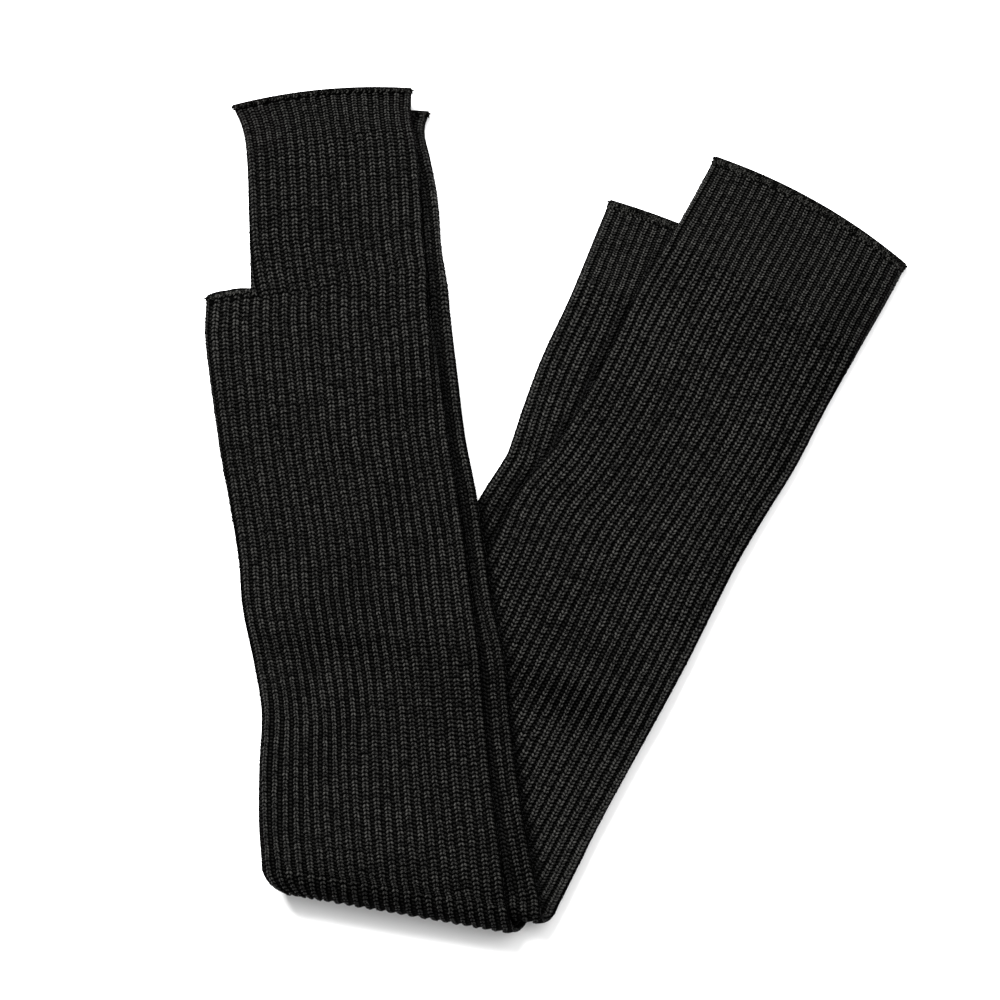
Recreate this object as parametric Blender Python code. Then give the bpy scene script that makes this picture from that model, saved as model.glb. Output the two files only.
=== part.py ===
# A pair of long rib-knit wrist warmers, laid flat one on the other and folded together into a V.
# Each warmer is a flattened tube: two cloth faces joined at the sides, open at the arm end, at the
# hand end and at the thumb. The outer warmer lies underneath in the arm leg and on top in the
# forearm leg, because the fold turns the pair over.
# Lengths are in millimetres, and solid() turns them into metres. X is to the right and Y up the
# page as the pair is seen from above, and the origin is under the middle of the pair.

import math
from collections import namedtuple

import bmesh
import bpy
from mathutils import Vector

METRES = 0.001

# The cloth
WALL = 1.8  # one face of the rib knit
SLIT = 0.4  # between the two faces of a flattened tube
TUBE = 2 * WALL + SLIT
LAYER_GAP = 0.5  # between one warmer and the next
LAYER = TUBE + LAYER_GAP
SEAM = 0.3  # between two pieces of one warmer
EDGE_ROWS = 3.0  # depth of the bound-off rows at an opening
EDGE_ROUND = 0.6  # taken off all round at the lip of an opening
THUMB_SHARE = 0.199  # of the forearm's width, bound off at the thumb
THUMB_ARCH = 1.6  # the thumb's lip rises this much in its middle
THUMB_STEPS = 3  # along each face of the thumb's lip

# How a warmer bridges the edge of what it lies on
EDGE_HOLD = 4.0  # it keeps its height this far past the edge
END_HOLD = 4.0  # and this much more past an open end
BRIDGE = 6.0  # and this much further for each warmer in between
DROP = 10.0  # then comes down over this length

# The fold
TURN_STEPS = 8
OUTER_REACH = 12.0  # from the fold's outside to the first straight section
INNER_REACH = 8.0
TURN_DRAPE = 0.7  # the turn takes its heights this share of the reach inside the fold

# One section of a tube: the points on its left and right sides, how far its middle bows towards the
# open end, and how far its two faces stand apart beyond the slit.
Row = namedtuple("Row", "left_x left_y right_x right_y bow mouth", defaults=(0, 0))

OUTER_ARM = (  # from the open end down to the fold
    Row(20.5, 118.5, 96.5, 84, 3, 0),
    Row(14.5, 104, 90.5, 69.5, 2, 0),
    Row(5, 81, 81, 45.5, 1, 0),
    Row(-5.5, 58.5, 70, 20.5),
    Row(-12.5, 40, 61.5, 0),
    Row(-17.3, 25.5, 55, -15),
    Row(-19, 21.2, 53.3, -19),
    Row(-28, 7, 46, -34),
    Row(-47.5, -29.5, 30.5, -68),
    Row(-67.5, -67.5, 15.5, -102),
    Row(-87, -105, 3, -130.3),
    Row(-104.5, -133, -6.5, -151),
)
OUTER_FOREARM = (  # from the fold up to the thumb
    Row(-112, -132, -18.5, -148.5),
    Row(-113, -118.5, -20.5, -130.5),
    Row(-113, -98.5, -23.5, -107),
    Row(-112.2, -76.5, -26.5, -79.5),
    Row(-115, -58.5, -28.5, -55.5),
    Row(-119.5, -36.5, -31.5, -30.5),
    Row(-121, -18, -34, -10.5),
    Row(-124.5, 3, -37.5, 11),
    Row(-128, 22, -41, 31.5),
    Row(-131.5, 46.5, -44.5, 57),
    Row(-133.8, 66.5, -47.5, 78.5),
    Row(-133.4, 78, -48.5, 91),
)
OUTER_HAND = (  # from the thumb up to the fingers
    Row(-116.4, 81, -48.5, 91),
    Row(-116.5, 94.5, -50, 103.5),
    Row(-117, 112.5, -51, 119.5, 0.5, 0),
    Row(-117.6, 131.5, -52.5, 138, 1.5, 0),
    Row(-119.2, 144.5, -54.5, 151, 2.3, 0.6),
    Row(-123.3, 154, -54.2, 160.6, 2.8, 1.6),
)
INNER_ARM = (
    Row(60.5, 135, 134, 93.5, 4, 0.8),
    Row(54, 123, 127.5, 81, 3, 0.2),
    Row(42.5, 102.5, 115.5, 60, 1.5, 0),
    Row(30.5, 82.5, 103, 38, 0.5, 0),
    Row(20, 61, 91.5, 16),
    Row(9.5, 41, 80, -2.5),
    Row(-1.5, 24, 70.5, -18.5),
    Row(-14, 9, 62, -35),
    Row(-24, -11.5, 51, -57),
    Row(-43, -51, 35, -86.5),
    Row(-63, -90, 17.5, -118.5),
    Row(-81, -118.5, 6.4, -140.7),
    Row(-92, -134.5, 1.2, -150.9),
)
INNER_FOREARM = (
    Row(-97, -133, -5.5, -149),
    Row(-99, -120, -9, -131.5),
    Row(-100.5, -99.5, -13.5, -106),
    Row(-100.5, -78, -17, -79.5),
    Row(-103, -60, -19, -56),
    Row(-107.5, -38.5, -23.5, -34),
    Row(-110, -19.5, -26.5, -14),
    Row(-114, 1, -30, 8),
    Row(-117.5, 20, -34, 28.5),
    Row(-121.5, 43.5, -37, 52.5),
    Row(-123.5, 63, -39.5, 73),
    Row(-124, 71.5, -40.5, 84.5),
)
INNER_HAND = (
    Row(-107.3, 74, -40.5, 84.5),
    Row(-108.5, 92, -43, 100.5),
    Row(-111, 112.5, -44.5, 119.5, 0.5, 0),
    Row(-113, 128.5, -47.5, 135, 1.5, 0),
    Row(-114.5, 138.5, -49.5, 144.5, 2.5, 0),
    Row(-116.5, 145.5, -47.5, 152, 3, 0),
)

# Soft swells that stand above the plain drape, each on one layer
Swell = namedtuple("Swell", "layer x y reach height")
SWELLS = (
    Swell(3, -117, -138, 26, 3.6),  # the outer fold stays springy where nothing lies inside it
)

# The outside of each fold: a point on its line, and the line's slope down to the right
Fold = namedtuple("Fold", "x y slope reach left_round right_round")
OUTER_FOLD = Fold(-105, -145.9, 9.9, OUTER_REACH, 10, 3)
INNER_FOLD = Fold(-4, -158.1, 9.9, INNER_REACH, 4, 3)

# Layers of the pile, counted from the table up
OUTER_ARM_LAYER, INNER_ARM_LAYER, INNER_FOREARM_LAYER, OUTER_FOREARM_LAYER = range(4)


def smooth(share):
    share = min(max(share, 0), 1)
    return share * share * (3 - 2 * share)


class Leg:
    """A run of rows, read at any distance along its middle."""

    def __init__(self, rows):
        self.rows = rows
        middles = [Vector((row.left_x + row.right_x, row.left_y + row.right_y)) / 2 for row in rows]
        self.places = [0.0]
        for here, there in zip(middles, middles[1:]):
            self.places.append(self.places[-1] + (there - here).length)
        self.length = self.places[-1]

    def slope(self, column, index):
        before, after = max(index - 1, 0), min(index + 1, len(self.rows) - 1)
        rise = self.rows[after][column] - self.rows[before][column]
        return rise / (self.places[after] - self.places[before])

    def at(self, place):
        """The row at this distance, on a smooth curve through the rows; straight on past the ends."""
        index = max(sum(start <= place for start in self.places[:-1]) - 1, 0)
        start, end = self.places[index], self.places[index + 1]
        span = end - start
        inside = min(max(place, 0), self.length)
        t = (inside - start) / span
        values = []
        for column in range(len(Row._fields)):
            a, b = self.rows[index][column], self.rows[index + 1][column]
            slope_a, slope_b = self.slope(column, index) * span, self.slope(column, index + 1) * span
            value = (
                a * (1 + 2 * t) * (1 - t) ** 2
                + slope_a * t * (1 - t) ** 2
                + b * t * t * (3 - 2 * t)
                + slope_b * t * t * (t - 1)
            )
            past = place - inside
            values.append(value + past * (slope_b if t > 0.5 else slope_a) / span)
        return Row(*values)


def sides(row):
    return Vector((row.left_x, row.left_y)), Vector((row.right_x, row.right_y))


def plan_point(row, share):
    """The point this share of the way across a section, seen from above."""
    left, right = sides(row)
    across = right - left
    up_the_leg = Vector((-across.y, across.x)).normalized()
    return left + across * share + up_the_leg * row.bow * 4 * share * (1 - share)


def fold_axes(fold):
    """The unit vectors along a fold's line and out of the pair across it."""
    angle = math.radians(fold.slope)
    return Vector((math.cos(angle), -math.sin(angle))), Vector((-math.sin(angle), -math.cos(angle)))


def footprint(rows, fold):
    """The outline of rows that start at a fold, carried on past both of their ends."""
    along, outward = fold_axes(fold)
    origin = Vector((fold.x, fold.y))
    left, right = [[sides(row)[side] for row in rows] for side in (0, 1)]
    last = rows[-1]
    across = right[-1] - left[-1]
    past_end = Vector((-across.y, across.x)).normalized() * (last.bow + END_HOLD)
    for side in (left, right):
        side.insert(0, origin + along * (side[0] - origin).dot(along))
        side.append(side[-1] + past_end)
    return left + right[::-1]


def distance_outside(outline, point):
    """How far a point lies outside an outline, negative inside it."""
    nearest, inside = math.inf, False
    for a, b in zip(outline, outline[1:] + outline[:1]):
        edge = b - a
        share = min(max((point - a).dot(edge) / max(edge.length_squared, 1e-9), 0), 1)
        nearest = min(nearest, (a + edge * share - point).length)
        if (a.y > point.y) != (b.y > point.y):
            if point.x < a.x + (point.y - a.y) * edge.x / edge.y:
                inside = not inside
    return -nearest if inside else nearest


outer_arm, outer_forearm, outer_hand = Leg(OUTER_ARM), Leg(OUTER_FOREARM), Leg(OUTER_HAND)
inner_arm, inner_forearm, inner_hand = Leg(INNER_ARM), Leg(INNER_FOREARM), Leg(INNER_HAND)
thumb_lip = inner_forearm.at(inner_forearm.length + SEAM + EDGE_ROWS)
FOOTPRINTS = (
    footprint(OUTER_ARM[::-1], OUTER_FOLD),
    footprint(INNER_ARM[::-1], INNER_FOLD),
    footprint(INNER_FOREARM + (thumb_lip,) + INNER_HAND[1:], INNER_FOLD),
)


def drape(layer, point):
    """The height of a layer's underside at a point, over all that lies beneath it."""
    height = 0
    for below, outline in enumerate(FOOTPRINTS[:layer]):
        hold = EDGE_HOLD + BRIDGE * (layer - below - 1)
        height += LAYER * (1 - smooth((distance_outside(outline, point) - hold) / DROP))
    for swell in SWELLS:
        if swell.layer == layer:
            reach = (Vector((swell.x, swell.y)) - point).length / swell.reach
            height += swell.height * (1 - smooth(reach))
    return height


def flat_ring(width, thickness, steps, inset=0.0, round_points=(45,)):
    """Points round a flattened tube's section: distance across, height over its middle."""
    radius = thickness / 2
    start = [(0.0, 0.0)]
    for degrees in round_points + (90,):
        angle = math.radians(degrees)
        start.append((radius * (1 - math.cos(angle)), radius * math.sin(angle)))
    flat = width - 2 * radius
    top = start + [(radius + flat * i / steps, radius) for i in range(1, steps)]
    top += [(width - across, height) for across, height in start[::-1]]
    bottom = [(across, -height) for across, height in top[-2:0:-1]]
    return [(across + inset, height) for across, height in top + bottom]


def leg_section(leg, layer, place, steps, shrink=0.0):
    """The outer and the inner ring of one section of a leg, as points in space."""
    row = leg.at(place)
    left, right = sides(row)
    width = (right - left).length
    slit = SLIT + max(row.mouth, 0)
    thickness = slit + 2 * WALL
    outer = flat_ring(width - 2 * shrink, thickness - 2 * shrink, steps, shrink)
    inner = flat_ring(width - 2 * WALL, slit, max(steps // 2, 2), WALL, ())
    rings = []
    for ring in (outer, inner):
        points = []
        for across, height in ring:
            plan = plan_point(row, across / width)
            points.append(Vector((plan.x, plan.y, drape(layer, plan) + thickness / 2 + height)))
        rings.append(points)
    return rings


def fold_section(fold, ends, layers, step, steps):
    """The rings of one section of a turned fold; step runs from the arm (-1) round to the forearm."""
    along, outward = fold_axes(fold)
    origin = Vector((fold.x, fold.y))
    arm_end, forearm_end = ends
    arc = TURN_STEPS + 2
    progress = (step + 1) / arc
    lefts = [(sides(row)[0] - origin).dot(along) for row in ends]
    rights = [(sides(row)[1] - origin).dot(along) for row in ends]
    left = lefts[0] + (lefts[1] - lefts[0]) * progress
    right = rights[0] + (rights[1] - rights[0]) * progress
    turn = math.radians(-90 + 180 * min(max(step / TURN_STEPS, 0), 1))
    straight = step < 0 or step > TURN_STEPS
    side = -1 if step < TURN_STEPS / 2 else 1

    def mid_surface(share):
        """The point of the mid surface this share of the way across, and the way out of the roll."""
        across = left + (right - left) * share
        heights = []
        for layer, lateral in zip(layers, (lefts, rights)):
            plan = origin + along * across - outward * fold.reach * TURN_DRAPE
            heights.append(drape(layer, plan) + TUBE / 2)
        low, high = heights
        radius = (high - low) / 2
        inward = radius + TUBE / 2 - radius * math.cos(turn)
        return across, inward, (low + high) / 2 + radius * math.sin(turn)

    width = right - left
    rings = []
    for ring in (
        flat_ring(width, TUBE, steps),
        flat_ring(width - 2 * WALL, SLIT, max(steps // 2, 2), WALL, ()),
    ):
        points = []
        for distance, height in ring:
            share = distance / width
            if straight:
                row = arm_end if step < 0 else forearm_end
                plan = plan_point(row, share) + outward * SEAM
                layer = layers[0] if step < 0 else layers[1]
                level = drape(layer, plan) + TUBE / 2 + side * height
                points.append(Vector((plan.x, plan.y, level)))
                continue
            across, inward, level = mid_surface(share)
            inward -= math.cos(turn) * height
            level += math.sin(turn) * height
            lateral = across
            lateral += rounding(fold.left_round, inward) * max(1 - share * 4, 0)
            lateral -= rounding(fold.right_round, inward) * max(share * 4 - 3, 0)
            plan = origin + along * lateral - outward * inward
            points.append(Vector((plan.x, plan.y, level)))
        rings.append(points)
    return rings


def rounding(radius, inward):
    """How far a rounded corner has drawn in, this far inside its fold's line."""
    rest = max(radius - max(inward, 0), 0)
    return radius - math.sqrt(radius * radius - rest * rest)


def ring_shares(ring):
    """How far round a closed ring each of its points lies, from 0 to 1."""
    lengths = [(b - a).length for a, b in zip(ring, ring[1:] + ring[:1])]
    total, sum_so_far, shares = sum(lengths), 0, []
    for length in lengths:
        shares.append(sum_so_far / total)
        sum_so_far += length
    return shares


def close_between(mesh, outer, inner):
    """Fills the band between two rings with triangles."""
    shares = [ring_shares([vert.co for vert in ring]) + [1.0] for ring in (outer, inner)]
    i = j = 0
    while i < len(outer) or j < len(inner):
        here_outer, here_inner = outer[i % len(outer)], inner[j % len(inner)]
        if j == len(inner) or (i < len(outer) and shares[0][i + 1] <= shares[1][j + 1]):
            mesh.faces.new((here_outer, outer[(i + 1) % len(outer)], here_inner))
            i += 1
        else:
            mesh.faces.new((here_outer, inner[(j + 1) % len(inner)], here_inner))
            j += 1


def solid(name, mesh, material):
    """Adds a mesh in millimetres as one named object."""
    bmesh.ops.recalc_face_normals(mesh, faces=mesh.faces)
    bmesh.ops.scale(mesh, vec=(METRES, METRES, METRES), verts=mesh.verts)
    data = bpy.data.meshes.new(name)
    mesh.to_mesh(data)
    mesh.free()
    data.materials.append(material)
    data.shade_smooth()
    data.set_sharp_from_angle(angle=math.radians(40))
    bpy.context.scene.collection.objects.link(bpy.data.objects.new(name, data))


def tube(name, sections, material):
    """A wall between outer and inner rings, closed at both ends of the run."""
    mesh = bmesh.new()
    rings = [[[mesh.verts.new(point) for point in ring] for ring in section] for section in sections]
    for kind in (0, 1):
        for here, there in zip(rings, rings[1:]):
            a, b = here[kind], there[kind]
            for i in range(len(a)):
                j = (i + 1) % len(a)
                mesh.faces.new((a[i], a[j], b[j], b[i]))
    for outer, inner in (rings[0], rings[-1]):
        close_between(mesh, outer, inner)
    solid(name, mesh, material)


def leg_tube(name, leg, layer, start, end, across, along, material):
    """The stretch of a leg from one distance to another."""
    places = [start + (end - start) * i / along for i in range(along + 1)]
    tube(name, [leg_section(leg, layer, place, across) for place in places], material)


def edge_band(name, leg, layer, base, lip, across, material):
    """The bound-off rows of an opening, from their base to the rounded lip."""
    before_lip = lip + math.copysign(EDGE_ROUND, base - lip)
    sections = [leg_section(leg, layer, place, across) for place in (base, before_lip)]
    sections.append(leg_section(leg, layer, lip, across, EDGE_ROUND))
    tube(name, sections, material)


def thumb_band(name, forearm, layer, material):
    """The bound-off rows round the thumb opening: both faces, and the side that joins them."""
    start = forearm.length + SEAM
    places = (start, start + EDGE_ROWS - EDGE_ROUND, start + EDGE_ROWS)
    mesh = bmesh.new()
    loops = []
    for place, shrink in zip(places, (0, 0, EDGE_ROUND)):
        row = forearm.at(place)
        rise = THUMB_ARCH * (place - start) / EDGE_ROWS
        left, right = sides(row)
        width = (right - left).length
        end = width * THUMB_SHARE - SEAM
        half = TUBE / 2 - shrink
        profile = [(shrink + half * a, half * b) for a, b in ((0, 0), (0.3, 0.7), (1, 1))]
        slot = [(WALL, 0), (WALL + SLIT / 2, SLIT / 2)]
        for side, height in ((profile, half), (slot, SLIT / 2)):
            bend = side[-1][0]
            side += [(bend + (end - bend) * i / THUMB_STEPS, height) for i in range(1, THUMB_STEPS + 1)]
        loop = [(a, -b) for a, b in profile[:0:-1]] + profile
        loop += slot[::-1] + [(a, -b) for a, b in slot[1:]]
        points = []
        for across, height in loop:
            plan = plan_point(row, across / width)
            plan.y += rise * math.sin(math.pi * across / end)
            points.append(Vector((plan.x, plan.y, drape(layer, plan) + TUBE / 2 + height)))
        loops.append([mesh.verts.new(point) for point in points])
    for a, b in zip(loops, loops[1:]):
        for i in range(len(a)):
            j = (i + 1) % len(a)
            mesh.faces.new((a[i], a[j], b[j], b[i]))
    reach = len(profile) - 1  # points from the band's side to its end
    for loop in (loops[0], loops[-1]):
        for step in (1, -1):
            out = [loop[reach + step * i] for i in range(reach + 1)]
            into = [loop[3 * reach - step * i] for i in range(reach)]
            mesh.faces.new((out[0], out[1], into[0]))
            for i in range(1, reach):
                mesh.faces.new((out[i], out[i + 1], into[i], into[i - 1]))
    solid(name, mesh, material)


def cloth(name, colour, roughness):
    material = bpy.data.materials.new(name)
    material.use_nodes = True
    shader = material.node_tree.nodes["Principled BSDF"]
    shader.inputs["Base Color"].default_value = (*colour, 1)
    shader.inputs["Roughness"].default_value = roughness
    shader.inputs["Metallic"].default_value = 0
    material.diffuse_color = (*colour, 1)
    return material


def warmer(which, legs, layers, fold, arm_along, across, rib_knit, bound_edge):
    """One warmer: arm, fold, forearm and hand, and the bound-off edges of its three openings."""
    arm, forearm, hand = legs
    arm_layer, forearm_layer = layers
    arm_across, forearm_across, hand_across = across
    leg_tube(
        f"arm_{which}", arm, arm_layer, EDGE_ROWS + SEAM, arm.length, arm_across, arm_along, rib_knit
    )
    edge_band(f"arm_edge_{which}", arm, arm_layer, EDGE_ROWS, 0, arm_across, bound_edge)
    ends = (arm.rows[-1], forearm.rows[0])
    turn = [
        fold_section(fold, ends, layers, step, forearm_across) for step in range(-1, TURN_STEPS + 2)
    ]
    tube(f"fold_{which}", turn, rib_knit)
    leg_tube(
        f"forearm_{which}", forearm, forearm_layer, 0, forearm.length, forearm_across, 23, rib_knit
    )
    thumb_band(f"thumb_edge_{which}", forearm, forearm_layer, bound_edge)
    hand_end = hand.length - EDGE_ROWS
    leg_tube(
        f"hand_{which}", hand, forearm_layer, SEAM, hand_end - SEAM, hand_across, 7, rib_knit
    )
    edge_band(
        f"hand_edge_{which}", hand, forearm_layer, hand_end, hand.length, hand_across, bound_edge
    )


def main():
    for old in list(bpy.data.objects):
        bpy.data.objects.remove(old)
    rib_knit = cloth("rib_knit", (0.022, 0.021, 0.02), 0.9)
    bound_edge = cloth("bound_edge", (0.016, 0.015, 0.015), 0.92)
    warmer(
        "outer",
        (outer_arm, outer_forearm, outer_hand),
        (OUTER_ARM_LAYER, OUTER_FOREARM_LAYER),
        OUTER_FOLD,
        11,
        (3, 10, 8),
        rib_knit,
        bound_edge,
    )
    warmer(
        "inner",
        (inner_arm, inner_forearm, inner_hand),
        (INNER_ARM_LAYER, INNER_FOREARM_LAYER),
        INNER_FOLD,
        20,
        (9, 10, 8),
        rib_knit,
        bound_edge,
    )


main()
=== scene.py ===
# A pair of long rib-knit wrist warmers, laid flat one on the other and folded together into a V.
# Each warmer is one knitted tube: its rib is a thin corrugated shell, and the knit stitches and the
# bound-off edges are set on it. Tables and sizes are in millimetres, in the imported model's own
# frame, and become metres where a mesh is made.

import math
from functools import partial

import bmesh
import bpy
import numpy as np
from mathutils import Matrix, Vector


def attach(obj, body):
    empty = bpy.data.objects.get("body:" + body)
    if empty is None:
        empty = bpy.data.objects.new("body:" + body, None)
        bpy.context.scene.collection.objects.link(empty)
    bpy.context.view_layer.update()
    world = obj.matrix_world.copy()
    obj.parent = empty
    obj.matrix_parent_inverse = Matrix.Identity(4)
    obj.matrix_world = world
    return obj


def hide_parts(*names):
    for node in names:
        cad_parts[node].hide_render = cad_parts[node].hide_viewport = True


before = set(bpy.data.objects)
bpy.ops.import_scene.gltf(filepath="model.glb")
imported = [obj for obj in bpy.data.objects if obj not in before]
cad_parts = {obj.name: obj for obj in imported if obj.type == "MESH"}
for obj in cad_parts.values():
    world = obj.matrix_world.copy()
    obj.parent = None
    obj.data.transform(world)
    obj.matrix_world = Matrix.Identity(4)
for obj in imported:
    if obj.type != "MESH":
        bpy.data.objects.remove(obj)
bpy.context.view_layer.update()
print("frame loaded:", len(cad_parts), "nodes")

mm = 0.001
knit = {
    "wall": 1.8,  # one face of the rib
    "slit": 0.4,  # between the faces of a flattened tube
    "layer": 4.5,  # from one warmer up to the next
    "ribs": 48,  # round the arm and the forearm
    "thumbRibs": 5,  # bound off on each face
    "course": 1.4,  # one row of stitches
    "firstCourse": 0.2,  # from the arm's opening
    "ridge": 0.95,  # a knit rib over its furrow
    "crownPower": 0.8,  # under 1 for a broad crown on the rib
    "inset": 0.35,  # the shell's ridge under the cloth's outer face, so that stitches fit
    "edgeFurrow": 0.45,  # how deep the furrows may be round a tube's edges
    "innerFace": 1.5,  # whatever lies deeper belongs to the inner face
    "edgeDepth": 3.0,  # the bound-off rows
    "seam": 0.3,  # from the last course to the bound-off rows
    "thumbArch": 1.6,  # how far the bound-off thumb edge rises in its middle
    "crevice": 3.2,  # how far the painted shade reaches beside the edge of a layer above, for each layer's height
    # The ribs sway by this many, over this length, with this many waves round the tube
    "sway": ((0.06, 31, 5), (0.03, 12.3, 11)),
    "rollSpan": (0.1, 0.8),  # where a fold's roll starts between its legs' rows, and its share
    "rollLevel": 0.7,  # the share of the fold's reach at which the roll's heights are read
}
shellGrid = {
    "columns": 4,  # to a rib
    "rowStep": 2.5,
    "innerStep": 3,  # every third row on the inside
    "fromOpening": 2.4,
    "fromThumb": 1.0,
    "tightCourse": 0.8,  # courses under this share of a plain one count as tight
}
handRibs = knit["ribs"] - 2 * knit["thumbRibs"]
thick = 2 * knit["wall"] + knit["slit"]

drop = {
    "hold": 4.0,  # a warmer keeps its height this far past the edge of what it lies on
    "endHold": 6.0,  # and this much more past an open end
    "bridge": 6.0,  # and this much for each warmer in between
    "length": 22.0,  # then it comes down over this length
    "armLength": 30.0,  # or over this on the arm, where nothing weighs it down
}

# The height of a course by its distance past the arm's welt, and past the thumb on the hand. Both
# ends have a welt that is knitted tighter.
courseTable = {
    "welt": 0.97,
    "arm": ((0, 1.36), (25, 1.42), (75, 1.46), (310, 1.46), (365, 1.41), (395, 1.41), (425, 1.44)),
    "hand": ((0, 1.42), (22, 1.4), (30, 1.35), (46, 1.31), (56, 1.28)),
    "handWelt": 17.0,
}

# Rows across a leg: left x and y, right x and y, bow of the middle towards the open end, and how
# far the two faces stand apart. The arm runs from its open end to the fold, the forearm from the
# fold to the thumb, and the hand from there to the fingers. The fold has a point on its outside
# line, the line's slope, the reach in to the first straight row, and the rounding of its corners.
# drift is the station on the cloth, and the rib that lies on the left and the right edge there.
outerWarmer = {
    "name": "outer",
    "welt": 32.0,
    "armLayer": 0,
    "forearmLayer": 3,
    "arm": (
        (20.5, 118.5, 96.5, 84, 3, 0),
        (14.5, 104, 90.5, 69.5, 2, 0),
        (5, 81, 81, 45.5, 1, 0),
        (-5.5, 58.5, 70, 20.5, 0, 0),
        (-12.5, 40, 61.5, 0, 0, 0),
        (-17.3, 25.5, 55, -15, 0, 0),
        (-19, 21.2, 53.3, -19, 0, 0),
        (-28, 7, 46, -34, 0, 0),
        (-47.5, -29.5, 30.5, -68, 0, 0),
        (-67.5, -67.5, 15.5, -102, 0, 0),
        (-87, -105, 3, -130.3, 0, 0),
        (-104.5, -133, -6.5, -151, 0, 0),
    ),
    "forearm": (
        (-112, -132, -18.5, -148.5, 0, 0),
        (-113, -118.5, -20.5, -130.5, 0, 0),
        (-113, -98.5, -23.5, -107, 0, 0),
        (-112.2, -76.5, -26.5, -79.5, 0, 0),
        (-115, -58.5, -28.5, -55.5, 0, 0),
        (-119.5, -36.5, -31.5, -30.5, 0, 0),
        (-121, -18, -34, -10.5, 0, 0),
        (-124.5, 3, -37.5, 11, 0, 0),
        (-128, 22, -41, 31.5, 0, 0),
        (-131.5, 46.5, -44.5, 57, 0, 0),
        (-133.8, 66.5, -47.5, 78.5, 0, 0),
        (-133.4, 78, -48.5, 91, 0, 0),
    ),
    "hand": (
        (-116.4, 81, -48.5, 91, 0, 0),
        (-116.5, 94.5, -50, 103.5, 0, 0),
        (-117, 112.5, -51, 119.5, 0.5, 0),
        (-117.6, 131.5, -52.5, 138, 1.5, 0),
        (-119.2, 144.5, -54.5, 151, 2.3, 0.6),
        (-123.3, 154, -54.2, 160.6, 2.8, 1.6),
    ),
    "fold": {"at": (-105, -145.9), "slope": 9.9, "reach": 12.0, "left": 10, "right": 3},
    "drift": ((0, 0, 24), (420, 0, 24), (470, -0.3, 23.9), (500, -0.4, 23.3), (530, -0.6, 22.9)),
    "handDrift": ((0, 4.2, 22.8), (8, 4.6, 22.9), (20, 5.0, 22.9), (80, 5.1, 22.95)),
}
innerWarmer = {
    "name": "inner",
    "welt": 37.0,
    "armLayer": 1,
    "forearmLayer": 2,
    "arm": (
        (60.5, 135, 134, 93.5, 4, 0.8),
        (54, 123, 127.5, 81, 3, 0.2),
        (42.5, 102.5, 115.5, 60, 1.5, 0),
        (30.5, 82.5, 103, 38, 0.5, 0),
        (20, 61, 91.5, 16, 0, 0),
        (9.5, 41, 80, -2.5, 0, 0),
        (-1.5, 24, 70.5, -18.5, 0, 0),
        (-14, 9, 62, -35, 0, 0),
        (-24, -11.5, 51, -57, 0, 0),
        (-43, -51, 35, -86.5, 0, 0),
        (-63, -90, 17.5, -118.5, 0, 0),
        (-81, -118.5, 6.4, -140.7, 0, 0),
        (-92, -134.5, 1.2, -150.9, 0, 0),
    ),
    "forearm": (
        (-97, -133, -5.5, -149, 0, 0),
        (-99, -120, -9, -131.5, 0, 0),
        (-100.5, -99.5, -13.5, -106, 0, 0),
        (-100.5, -78, -17, -79.5, 0, 0),
        (-103, -60, -19, -56, 0, 0),
        (-107.5, -38.5, -23.5, -34, 0, 0),
        (-110, -19.5, -26.5, -14, 0, 0),
        (-114, 1, -30, 8, 0, 0),
        (-117.5, 20, -34, 28.5, 0, 0),
        (-121.5, 43.5, -37, 52.5, 0, 0),
        (-123.5, 63, -39.5, 73, 0, 0),
        (-124, 71.5, -40.5, 84.5, 0, 0),
    ),
    "hand": (
        (-107.3, 74, -40.5, 84.5, 0, 0),
        (-108.5, 92, -43, 100.5, 0, 0),
        (-111, 112.5, -44.5, 119.5, 0.5, 0),
        (-113, 128.5, -47.5, 135, 1.5, 0),
        (-114.5, 138.5, -49.5, 144.5, 2.5, 0),
        (-116.5, 145.5, -47.5, 152, 3, 0),
    ),
    "fold": {"at": (-4, -158.1), "slope": 9.9, "reach": 8.0, "left": 4, "right": 3},
    "drift": ((0, -0.3, 23.3), (30, -0.3, 23.5), (60, 0, 24), (90, 0.1, 24), (560, 0, 24)),
    "handDrift": ((0, 5.0, 24), (20, 5.0, 23.8), (80, 5.0, 24)),
}

warmers = (outerWarmer, innerWarmer)
for warmer in warmers:
    for part in ("arm", "forearm", "hand", "drift", "handDrift"):
        warmer[part] = np.array(warmer[part], float)

# Soft ridges and troughs: lowest layer that takes it, x, y, direction in degrees, half
# length, half width, height
creases = (
    (3, -117, -138, 0, 20, 20, 1.0),
    (2, -62, -133, -10, 62, 19, 4.6),
    (2, -66, -108, -10, 56, 30, 1.4),
    (3, -80, -44, -3, 34, 9, 3.5),
    (3, -80, 27, -50, 10, 5, 1.3),
    (3, -66, -14, 8, 26, 7, 1.1),
    (3, -52, 50, 0, 11, 12, 3.2),
    (3, -54, 32, 0, 13, 26, 2.0),
    (2, -15, -108, 78, 38, 9, 3.2),
    (3, -84, 112, -4, 26, 9, 0.8),
    (1, 8, -61, -24, 27, 14, 7.0),
    (1, 8, -30, -25, 18, 6, 1.6),
    (1, 28, -12, -28, 18, 6, 1.0),
    (1, 70, 28, -34, 22, 8, 0.8),
    (0, 34, 80, -24, 14, 6, 0.5),
)


def smoothStep(share):
    share = np.clip(share, 0, 1)
    return share * share * (3 - 2 * share)


def rowPlaces(rows):
    middle = (rows[:, 0:2] + rows[:, 2:4]) / 2
    return np.concatenate([[0], np.cumsum(np.linalg.norm(np.diff(middle, axis=0), axis=1))])


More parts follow.
